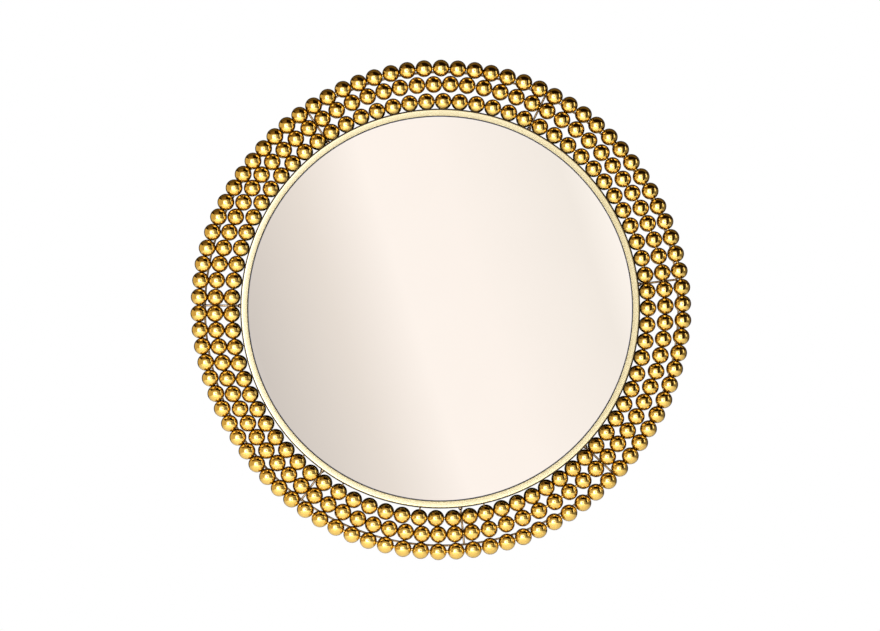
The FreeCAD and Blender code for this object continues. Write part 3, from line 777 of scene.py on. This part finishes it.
def make_bead_row(name, spots):
    """One row of beads as one mesh, each bead turned so that its bore lies along the wire."""
    one_points, one_faces = turned(bead_outline(), BEAD_STEPS)
    points = []
    faces = []
    shades = []
    for degrees, spot in spots:
        turn = Matrix.Rotation(math.radians(-degrees), 4, "Y") @ Matrix.Rotation(math.pi / 2, 4, "X")
        place = Matrix.Translation(spot) @ turn
        first = len(points)
        for point in one_points:
            points.append(place @ Vector(point))
            shades.append(crevice(points[-1], spot))
        faces += [tuple(first + i for i in face) for face in one_faces]
    mesh = build_mesh(name, points, faces, sharp_angle=60)
    mesh.attributes.new("crevice", "FLOAT", "POINT").data.foreach_set("value", shades)
    row = add_piece(name, mesh)
    row.data.materials.append(bead_gold)
    return row


for side, spots in ROW_SPOTS.items():
    row = make_bead_row(f"{side}_bead_row", spots)
    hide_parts(f"{side}_row_beads")
    print(f"{row.name}: {len(row.data.polygons)} faces")

# %% [markdown]
# ## Wires
#
# The beads of a row are threaded on a ring of drawn steel wire, and a fourth ring lies behind the outer
# row. The wire is gold plated too, but duller than the beads and stained brown by the soldering torch.
# One even tone would look painted, so coarse noise gives the stains and fine noise the grain.

# %% Wire gold
def make_wire_gold():
    """Dull gold with stains and the fine grain of drawn wire."""
    material, tree, shader = new_material("drawn_wire_gold")
    place = object_place(tree)
    stain = noise(tree, place, 120, detail=5, roughness=0.6)
    tone = ramp(tree, stain, [(0.35, (0.15, 0.095, 0.038)), (0.6, (0.34, 0.225, 0.095))])
    shader.inputs["Metallic"].default_value = 1.0
    tree.links.new(tone, shader.inputs["Base Color"])
    grain = noise(tree, place, 900, detail=3)
    tree.links.new(spread(tree, grain, 0.16, 0.34), shader.inputs["Roughness"])
    tree.links.new(bump(tree, grain, 0.2, 0.1 * MM), shader.inputs["Normal"])
    return material


wire_gold = make_wire_gold()
print(f"{wire_gold.name}: {len(wire_gold.node_tree.nodes)} shader nodes")

# %% [markdown]
# A torus could make a ring but could not follow the bend of its row, so a small circle is swept round
# with the same bend. The back ring is drawn a little larger than its solid and off centre. The seven
# straight spokes and the collars at their feet keep the shapes of the frame and take the same finish.

# %% Wires, spokes and collars
WIRE_SIDES = 14
back_low, back_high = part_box("back_ring")
BACK_RING_RADIUS = back_high.x - WIRE_RADIUS
BACK_RING_DEPTH = (back_low.y + back_high.y) / 2
RING_GROWTH = 1.4 * MM
RING_SHIFT = 2.4 * MM
RING_DROP = 0.4 * MM


def ring_shift(degrees):
    """How far the back ring stands outside its circle: it is larger, further right and a little low."""
    turn = math.radians(degrees)
    return RING_GROWTH + RING_SHIFT * math.cos(turn) - RING_DROP * math.sin(turn)


def make_wire_ring(name, radius, depth, swell=None):
    """A ring of wire that stands outside its circle by what swell tells."""
    section = arc((radius, depth), WIRE_RADIUS, 0, 360, WIRE_SIDES)[:-1]
    ring = add_piece(name, build_mesh(name, *turned(section, HOOP_STEPS, swell), sharp_angle=60))
    ring.data.materials.append(wire_gold)
    return ring


def paint(node_name, material):
    """Give a node of the frame its finish."""
    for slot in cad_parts[node_name].material_slots:
        slot.material = material


for row, row_radius in ROW_RADII.items():
    wire = make_wire_ring(f"{row}_threading_wire", row_radius, bead_plane, row_bend(row))
    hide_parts(f"{row}_row_wire")
back_ring = make_wire_ring("back_wire_ring", BACK_RING_RADIUS, BACK_RING_DEPTH, ring_shift)
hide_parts("back_ring")
for i in range(len(SPOKE_ANGLES)):
    paint(f"spoke_{i + 1}", wire_gold)
paint("spoke_collars", wire_gold)
print(f"back ring at {1000 * BACK_RING_RADIUS:.1f} mm, {len(SPOKE_ANGLES)} spokes")

# %% [markdown]
# ## Solder
#
# Two beads of a row meet in a small bright neck, where solder has run round the wire. Where beads of two
# rows stand side by side they are tacked together too, and a dozen tacks hold the inner beads to the rim.
# A short cylinder would look like a pin, but a drop between two balls draws in at its waist, so each is a
# small hourglass turned round the line that joins the two.

# %% Solder necks and tacks
DROP_STEPS = 14
DROP_RINGS = 4
PINHOLE_SHARE = 0.02
NECK_WAIST = 2.5 * MM
NECK_FOOT = 3.4 * MM
NECK_LENGTH = 3.6 * MM
TACK_WAIST = 1.2 * MM
TACK_FOOT = 2.3 * MM
TACK_BITE = 0.8 * MM
TACK_INSET = BEAD_RADIUS - TACK_BITE
SIDE_BY_SIDE = 2.2 * MM
RIM_TACK_ANGLES = [9, 43, 80, 99, 140, 158, 190, 208, 226, 240, 263, 282]
RIM_TACK_DEPTH = RIM_FRONT + 2.2 * MM


def drop_outline(length, waist, foot):
    """An hourglass along Y, centred on the origin; a pinhole along its axis keeps the sweep closed."""
    half = length / 2
    pinhole = waist * PINHOLE_SHARE
    side = []
    for i in range(-DROP_RINGS, DROP_RINGS + 1):
        share = i / DROP_RINGS
        side.append((waist + (foot - waist) * share * share, share * half))
    return [(pinhole, -half)] + side + [(pinhole, half)]


def make_drops(name, pairs, waist, foot, material):
    """One mesh of solder drops, each between its start and its end."""
    points = []
    faces = []
    for start, end in pairs:
        way = end - start
        one_points, one_faces = turned(drop_outline(way.length, waist, foot), DROP_STEPS)
        turn = way.to_track_quat("Y", "Z").to_matrix().to_4x4()
        place = Matrix.Translation((start + end) / 2) @ turn
        first = len(points)
        points += [place @ Vector(point) for point in one_points]
        faces += [tuple(first + i for i in face) for face in one_faces]
    drops = add_piece(name, build_mesh(name, points, faces, sharp_angle=50))
    drops.data.materials.append(material)
    print(f"{name}: {len(pairs)} drops")


def neck_pairs():
    """Start and end of the neck between each bead and the next of its row."""
    pairs = []
    for spots in ROW_SPOTS.values():
        for (_, spot), (_, after) in zip(spots, spots[1:] + spots[:1]):
            middle = (spot + after) / 2
            half = (after - spot).normalized() * NECK_LENGTH / 2
            pairs.append((middle - half, middle + half))
    return pairs


def tack_pairs():
    """Start and end of every tack: between rows where beads stand side by side, and at the rim."""
    pairs = []
    for near, far in (("inner", "middle"), ("middle", "outer")):
        for _, spot in ROW_SPOTS[near]:
            other = min((s for _, s in ROW_SPOTS[far]), key=lambda s: (s - spot).length)
            apart = other - spot
            if apart.cross(spot.normalized()).length < SIDE_BY_SIDE:
                way = apart.normalized()
                pairs.append((spot + way * TACK_INSET, other - way * TACK_INSET))
    for wanted in RIM_TACK_ANGLES:
        degrees, spot = min(ROW_SPOTS["inner"], key=lambda s: abs((s[0] - wanted + 180) % 360 - 180))
        foot = at_angle(RIM_OUTSIDE - TACK_BITE, degrees, RIM_TACK_DEPTH)
        way = (spot - foot).normalized()
        pairs.append((foot, spot - way * TACK_INSET))
    return pairs


make_drops("solder_necks", neck_pairs(), NECK_WAIST, NECK_FOOT, bead_gold)
make_drops("solder_tacks", tack_pairs(), TACK_WAIST, TACK_FOOT, wire_gold)

# %% [markdown]
# ## Glass and gasket
#
# The glass is silvered at its back. Clear glass over a silver layer would be closer to the real thing,
# but it is slower to render and looks the same from the front, so the whole disc is one polished metal; a
# faint haze in its roughness is the film that any mirror carries. The rubber channel round its edge shows
# only as the dark line inside the rim. The wall bumpers are rubber too, in grey.

# %% Mirror and rubber
def make_silvered_glass():
    """A polished mirror with a faint film."""
    material, tree, shader = new_material("silvered_glass")
    place = object_place(tree)
    film = noise(tree, place, 7, detail=5, roughness=0.6)
    tone = ramp(tree, film, [(0.3, (0.945, 0.945, 0.94)), (0.7, (0.955, 0.955, 0.95))])
    shader.inputs["Metallic"].default_value = 1.0
    tree.links.new(tone, shader.inputs["Base Color"])
    tree.links.new(spread(tree, film, 0.0, 0.03), shader.inputs["Roughness"])
    return material


def make_rubber(name, dark, light, scale):
    """Dull mottled rubber."""
    material, tree, shader = new_material(name)
    place = object_place(tree)
    mottle = noise(tree, place, scale, detail=6, roughness=0.65)
    tree.links.new(ramp(tree, mottle, [(0.3, dark), (0.7, light)]), shader.inputs["Base Color"])
    tree.links.new(spread(tree, mottle, 0.5, 0.75), shader.inputs["Roughness"])
    tree.links.new(bump(tree, mottle, 0.3, 0.2 * MM), shader.inputs["Normal"])
    return material


gasket_rubber = make_rubber("black_gasket_rubber", (0.012, 0.011, 0.010), (0.035, 0.033, 0.030), 700)
bumper_rubber = make_rubber("grey_bumper_rubber", (0.16, 0.16, 0.165), (0.24, 0.24, 0.245), 500)
paint("mirror_glass", make_silvered_glass())
paint("glazing_gasket", gasket_rubber)
paint("wall_bumpers", bumper_rubber)
print("glass, gasket and bumpers painted")

# %% [markdown]
# ## The back
#
# Behind the glass lie a sheet of foam and a fibreboard disc, held in by turn clips under the rim's rear
# lip. The board shows pressed brown fibres, which fine noise over a slow cloud gives. The clips, screws
# and hangers are zinc plated, with the soft blotches that zinc has, and a cell pattern makes those better
# than noise. All of these keep their shapes from the frame, because a plain back needs no finer mesh.

# %% Board, foam and zinc
CLIP_COUNT = 6


def make_fibreboard():
    """Pressed brown fibres."""
    material, tree, shader = new_material("pressed_fibreboard")
    place = object_place(tree)
    fibres = noise(tree, place, 260, detail=8, roughness=0.7)
    cloud = noise(tree, place, 14, detail=3)
    both = add_node(tree, "Math", {0: fibres, 1: cloud}, operation="ADD").outputs[0]
    half = add_node(tree, "Math", {0: both, 1: 0.5}, operation="MULTIPLY").outputs[0]
    tone = ramp(tree, half, [
        (0.36, (0.20, 0.115, 0.055)),
        (0.50, (0.33, 0.21, 0.115)),
        (0.64, (0.45, 0.31, 0.18)),
    ])
    tree.links.new(tone, shader.inputs["Base Color"])
    tree.links.new(spread(tree, fibres, 0.65, 0.9), shader.inputs["Roughness"])
    tree.links.new(bump(tree, fibres, 0.35, 0.3 * MM), shader.inputs["Normal"])
    return material


def make_zinc():
    """Grey plating with soft blotches."""
    material, tree, shader = new_material("zinc_plate")
    place = object_place(tree)
    blotch = add_node(tree, "TexVoronoi", {"Vector": place, "Scale": 260.0}).outputs["Color"]
    grey = add_node(tree, "RGBToBW", {"Color": blotch}).outputs[0]
    tone = ramp(tree, grey, [(0.1, (0.50, 0.51, 0.53)), (0.9, (0.70, 0.71, 0.72))])
    shader.inputs["Metallic"].default_value = 1.0
    tree.links.new(tone, shader.inputs["Base Color"])
    tree.links.new(spread(tree, grey, 0.28, 0.46), shader.inputs["Roughness"])
    tree.links.new(bump(tree, noise(tree, place, 1200), 0.12, 0.1 * MM), shader.inputs["Normal"])
    return material


def make_foam():
    """White foam with small open cells."""
    material, tree, shader = new_material("white_foam_sheet")
    place = object_place(tree)
    cells = add_node(tree, "TexVoronoi", {"Vector": place, "Scale": 900.0}).outputs["Distance"]
    tone = ramp(tree, cells, [(0.0, (0.62, 0.61, 0.58)), (0.6, (0.82, 0.81, 0.78))])
    tree.links.new(tone, shader.inputs["Base Color"])
    shader.inputs["Roughness"].default_value = 0.85
    tree.links.new(bump(tree, cells, 0.4, 0.3 * MM), shader.inputs["Normal"])
    return material


zinc = make_zinc()
paint("backing_board", make_fibreboard())
paint("foam_sheet", make_foam())
ZINC_NODES = [f"turn_clip_{i + 1}" for i in range(CLIP_COUNT)] + ["turn_clip_screws", "hanger_screws"]
ZINC_NODES += [f"hanger_{piece}_{side}" for piece in ("strap", "ring") for side in ("left", "right")]
for node_name in ZINC_NODES:
    paint(node_name, zinc)
print(f"{len(ZINC_NODES)} zinc-plated nodes")
